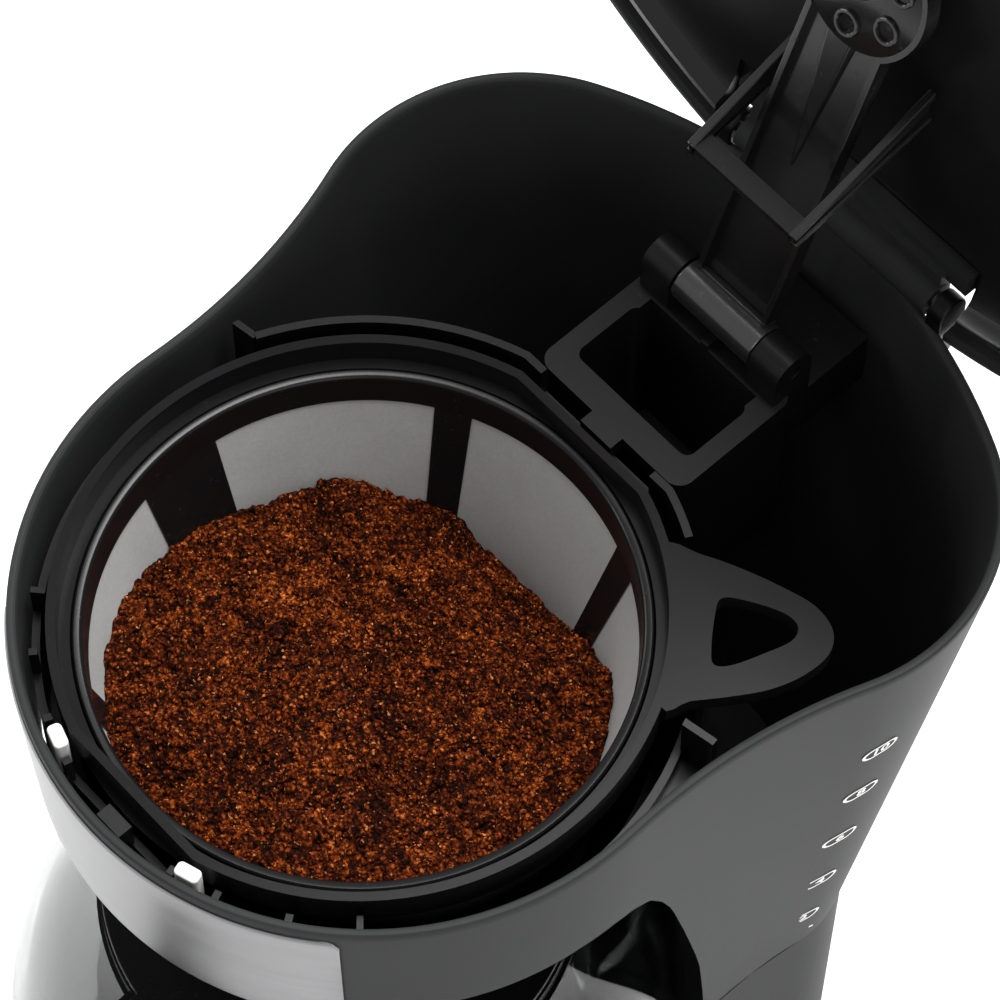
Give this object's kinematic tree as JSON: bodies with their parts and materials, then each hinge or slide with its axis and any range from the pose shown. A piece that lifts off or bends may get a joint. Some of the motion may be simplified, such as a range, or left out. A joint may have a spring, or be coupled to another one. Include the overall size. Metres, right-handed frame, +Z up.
{
  "type": "drip coffee maker",
  "caption": "Drip coffee maker with a flared side tank, hinged lid that lifts its spray arm, lift-out basket and reusable mesh filter, and a glass jug on a warming plate",
  "frame": {"origin": "on the table under the middle of the whole, lid open", "axes": "+X right, +Y rear, +Z up; the brew basket and jug are at the front"},
  "size_m": [0.1812, 0.2872, 0.5212],
  "materials": {
    "body_shell": "satin charcoal, fine moulded texture",
    "niche_wall": "satin",
    "brew_chamber": "satin black",
    "bridge_column": "satin black",
    "tank_floor": "satin black",
    "front_panel": "brushed along its length",
    "base_housing": "satin charcoal",
    "base_plate": "satin black",
    "feet": "dull rubber",
    "hot_plate": "non-stick coating",
    "plate_seal": "silicone",
    "heating_element": "cast alloy",
    "thermostat": "ceramic and plated cap",
    "thermal_fuses": "glass-fibre sleeve",
    "cold_hose": "translucent silicone",
    "check_valve": "natural plastic",
    "hot_hose": "translucent silicone",
    "riser_tube": "translucent silicone",
    "switch_bezel": "gloss black",
    "pilot_lens": "translucent red",
    "cord_inlet": "moulded gland",
    "base_screws": "zinc plated",
    "lid_buffers": "soft white silicone",
    "lid_pin": "turned pin",
    "arm_pin": "turned pin",
    "lid_cover": "satin charcoal",
    "lid_liner": "semi-gloss black",
    "lid_stirrup": "semi-gloss black",
    "spray_arm": "gloss black",
    "spray_plate": "gloss black",
    "brew_basket": "gloss black",
    "valve_seat": "silicone",
    "valve_spring": "spring wire",
    "drip_valve": "natural plastic",
    "filter_frame": "semi-gloss black",
    "filter_mesh": "woven fine mesh",
    "coffee_grounds": "ground coffee, loose and matt",
    "jug_glass": "clear blown glass",
    "jug_collar": "satin black",
    "jug_handle": "satin black",
    "handle_screws": "plated",
    "jug_lid": "satin black",
    "power_rocker": "gloss black"
  },
  "bodies": {
    "housing": {"body_shell": "body_shell", "niche_wall": "niche_wall", "brew_chamber": "brew_chamber", "bridge_column": "bridge_column", "tank_floor": "tank_floor", "front_panel": "front_panel", "base_housing": "base_housing", "base_plate": "base_plate", "feet": "feet", "hot_plate": "hot_plate", "plate_seal": "plate_seal", "heating_element": "heating_element", "thermostat": "thermostat", "thermal_fuses": "thermal_fuses", "cold_hose": "cold_hose", "check_valve": "check_valve", "hot_hose": "hot_hose", "riser_tube": "riser_tube", "switch_bezel": "switch_bezel", "pilot_lens": "pilot_lens", "cord_inlet": "cord_inlet", "base_screws": "base_screws", "lid_buffers": "lid_buffers", "lid_pin": "lid_pin", "arm_pin": "arm_pin"},
    "lid": {"lid_cover": "lid_cover", "lid_liner": "lid_liner", "lid_stirrup": "lid_stirrup"},
    "arm": {"spray_arm": "spray_arm", "spray_plate": "spray_plate"},
    "basket": {"brew_basket": "brew_basket", "valve_seat": "valve_seat", "valve_spring": "valve_spring"},
    "valve": {"drip_valve": "drip_valve"},
    "filter": {"filter_frame": "filter_frame", "filter_mesh": "filter_mesh", "coffee_grounds": "coffee_grounds"},
    "jug": {"jug_glass": "jug_glass", "jug_collar": "jug_collar", "jug_handle": "jug_handle", "handle_screws": "handle_screws"},
    "jug_top": {"jug_lid": "jug_lid"},
    "rocker": {"power_rocker": "power_rocker"}
  },
  "joints": [
    {"name": "lid_hinge", "type": "hinge", "parent": "housing", "child": "lid", "pos_m": [0, 0.1309, 0.3037], "axis": [-1, 0, 0], "range_deg": [-90, 0]},
    {"name": "arm_hinge", "type": "hinge", "parent": "housing", "child": "arm", "pos_m": [0, 0.0959, 0.3007], "axis": [-1, 0, 0], "range_deg": [-110.1, 0]},
    {"name": "basket_lift", "type": "slide", "parent": "housing", "child": "basket", "axis": [0, 0, 1], "range_m": [0, 0.13]},
    {"name": "drip_valve_slide", "type": "slide", "parent": "basket", "child": "valve", "axis": [0, 0, 1], "range_m": [0, 0.004], "stiffness_N_per_m": 150, "springref_m": -0.003, "deforming": ["valve_spring"]},
    {"name": "filter_lift", "type": "slide", "parent": "basket", "child": "filter", "axis": [0, 0, 1], "range_m": [0, 0.1]},
    {"name": "jug_slide", "type": "slide", "parent": "housing", "child": "jug", "axis": [0, -1, 0], "range_m": [0, 0.15]},
    {"name": "jug_lid_twist", "type": "hinge", "parent": "jug", "child": "jug_top", "pos_m": [0, -0.0226, 0.177], "axis": [0, 0, 1], "range_deg": [0, 35]},
    {"name": "power_rocker_hinge", "type": "hinge", "parent": "housing", "child": "rocker", "pos_m": [0, -0.0983, 0.024], "axis": [1, 0, 0], "range_deg": [0, 12]}
  ],
  "couplings": [
    {"joint": "arm_hinge", "follows": "lid_hinge", "ratio": 1.2222}
  ]
}
